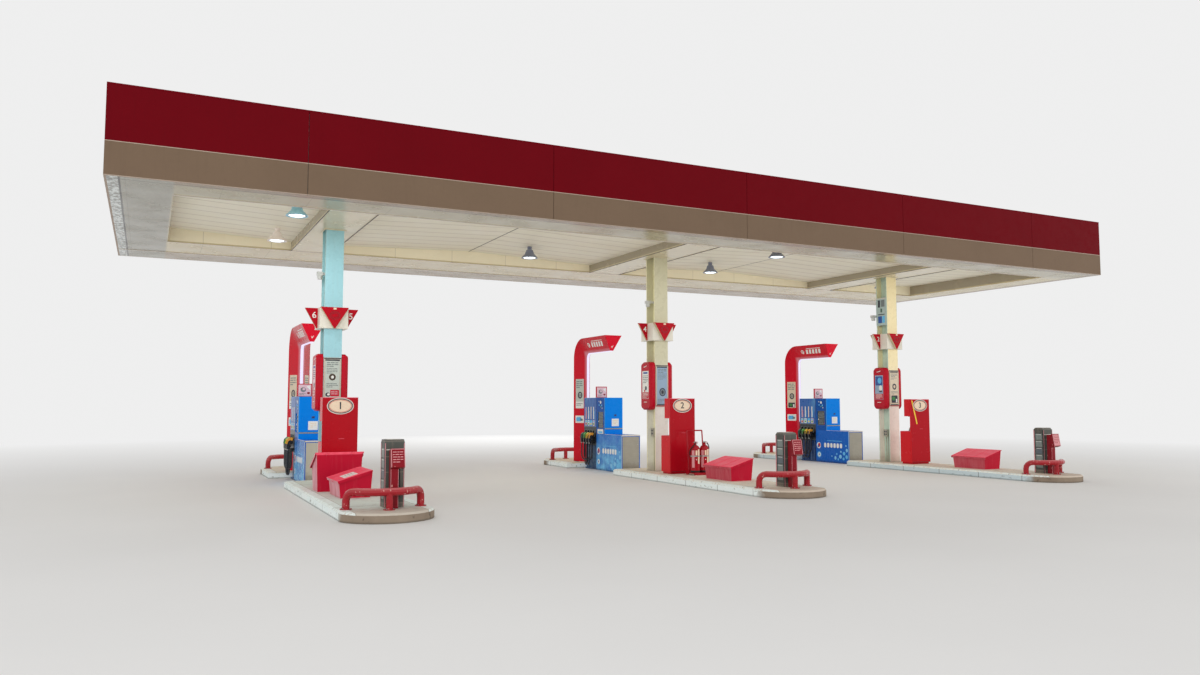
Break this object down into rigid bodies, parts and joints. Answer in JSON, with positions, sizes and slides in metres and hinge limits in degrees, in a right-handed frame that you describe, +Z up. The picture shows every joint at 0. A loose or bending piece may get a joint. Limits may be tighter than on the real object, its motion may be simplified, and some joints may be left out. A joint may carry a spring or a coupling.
{
  "type": "filling station canopy",
  "caption": "Flat forecourt canopy on a row of H columns, with kerbed pump islands, pumps, pump arches, crash hoops, sand boxes and waste cabinets.",
  "frame": {"origin": "ground point under the middle column's axis, on the flat underside of the middle island's near part", "axes": "+X along the long near fascia to the right, +Y from the near fascia to the far one, +Z up"},
  "size_m": [20.2, 9.55, 5.67],
  "materials": {
    "column_paint": "gloss cream paint",
    "galvanised": "galvanised",
    "fascia_red": "satin red panel",
    "fascia_grey": "satin grey-beige panel",
    "soffit": "gloss cream sheet",
    "deck": "cream sheet",
    "lamp_metal": "satin",
    "sign_white": "satin white",
    "sign_red": "satin red",
    "poster": "poster sheet",
    "cabinet_red": "satin red",
    "roll_grey": "grey",
    "concrete": "worn concrete with painted kerb",
    "hoop_red": "worn red paint",
    "unit_grey": "grey panels",
    "box_pink": "weathered red plastic",
    "ext_red": "gloss red",
    "pump_blue": "satin blue",
    "pump_bright": "satin bright blue",
    "pump_dark": "dark",
    "nozzle_black": "black",
    "hose_rubber": "black rubber",
    "arch_red": "satin red",
    "light_strip": "opal light strip",
    "camera_white": "white",
    "junction_grey": "grey",
    "plate_blue": "printed plate"
  },
  "bodies": {
    "canopy": {"column_left": "column_paint", "column_mid": "column_paint", "column_right": "column_paint", "girders": "galvanised", "edge_beams": "galvanised", "purlins": "galvanised", "fascia_posts": "galvanised", "fascia_red_near": "fascia_red", "fascia_red_far": "fascia_red", "fascia_red_ends": "fascia_red", "fascia_grey_near": "fascia_grey", "fascia_grey_far": "fascia_grey", "fascia_grey_ends": "fascia_grey", "roof_deck": "deck", "soffit_near": "soffit", "soffit_far": "soffit", "soffit_ends": "soffit", "soffit_margins": "soffit", "cross_casings": "soffit", "lamps": "lamp_metal", "sign_boxes": "sign_white", "sign_triangles": "sign_red", "poster_pods": "sign_red", "poster_panels": "poster", "cabinets": "cabinet_red", "cabinet_rolls": "roll_grey", "island_left": "concrete", "island_mid": "concrete", "island_right": "concrete", "hoops_near": "hoop_red", "hoops_far": "hoop_red", "service_units": "unit_grey", "service_boxes": "hoop_red", "sand_boxes": "box_pink", "extinguishers": "ext_red", "extinguisher_trolley": "ext_red", "pump_left": "pump_blue", "pump_mid": "pump_blue", "pump_right": "pump_blue", "pump_heads": "pump_bright", "hose_modules": "pump_dark", "pump_toppers": "sign_red", "nozzles": "nozzle_black", "hoses_left": "hose_rubber", "hoses_mid": "hose_rubber", "hoses_right": "hose_rubber", "arch_left": "arch_red", "arch_mid": "arch_red", "arch_right": "arch_red", "arch_lights": "light_strip", "cameras": "camera_white", "junction_boxes": "junction_grey", "column_plates": "plate_blue", "fascia_capping": "fascia_red"},
    "lid_a": {"sand_lid_a": "box_pink"},
    "lid_b": {"sand_lid_b": "box_pink"},
    "lid_c": {"sand_lid_c": "box_pink"},
    "lid_d": {"sand_lid_d": "box_pink"}
  },
  "joints": [
    {"name": "lid_a_hinge", "type": "hinge", "parent": "canopy", "child": "lid_a", "pos_m": [-6.297, -2.23, 0.5], "axis": [0, 1, 0], "range_deg": [0, 100]},
    {"name": "lid_b_hinge", "type": "hinge", "parent": "canopy", "child": "lid_b", "pos_m": [-6.56, -1.533, 0.71], "axis": [1, 0, 0], "range_deg": [0, 100]},
    {"name": "lid_c_hinge", "type": "hinge", "parent": "canopy", "child": "lid_c", "pos_m": [0.293, -2.4, 0.5], "axis": [0, 1, 0], "range_deg": [0, 100]},
    {"name": "lid_d_hinge", "type": "hinge", "parent": "canopy", "child": "lid_d", "pos_m": [6.573, -2.4, 0.5], "axis": [0, 1, 0], "range_deg": [0, 100]}
  ]
}
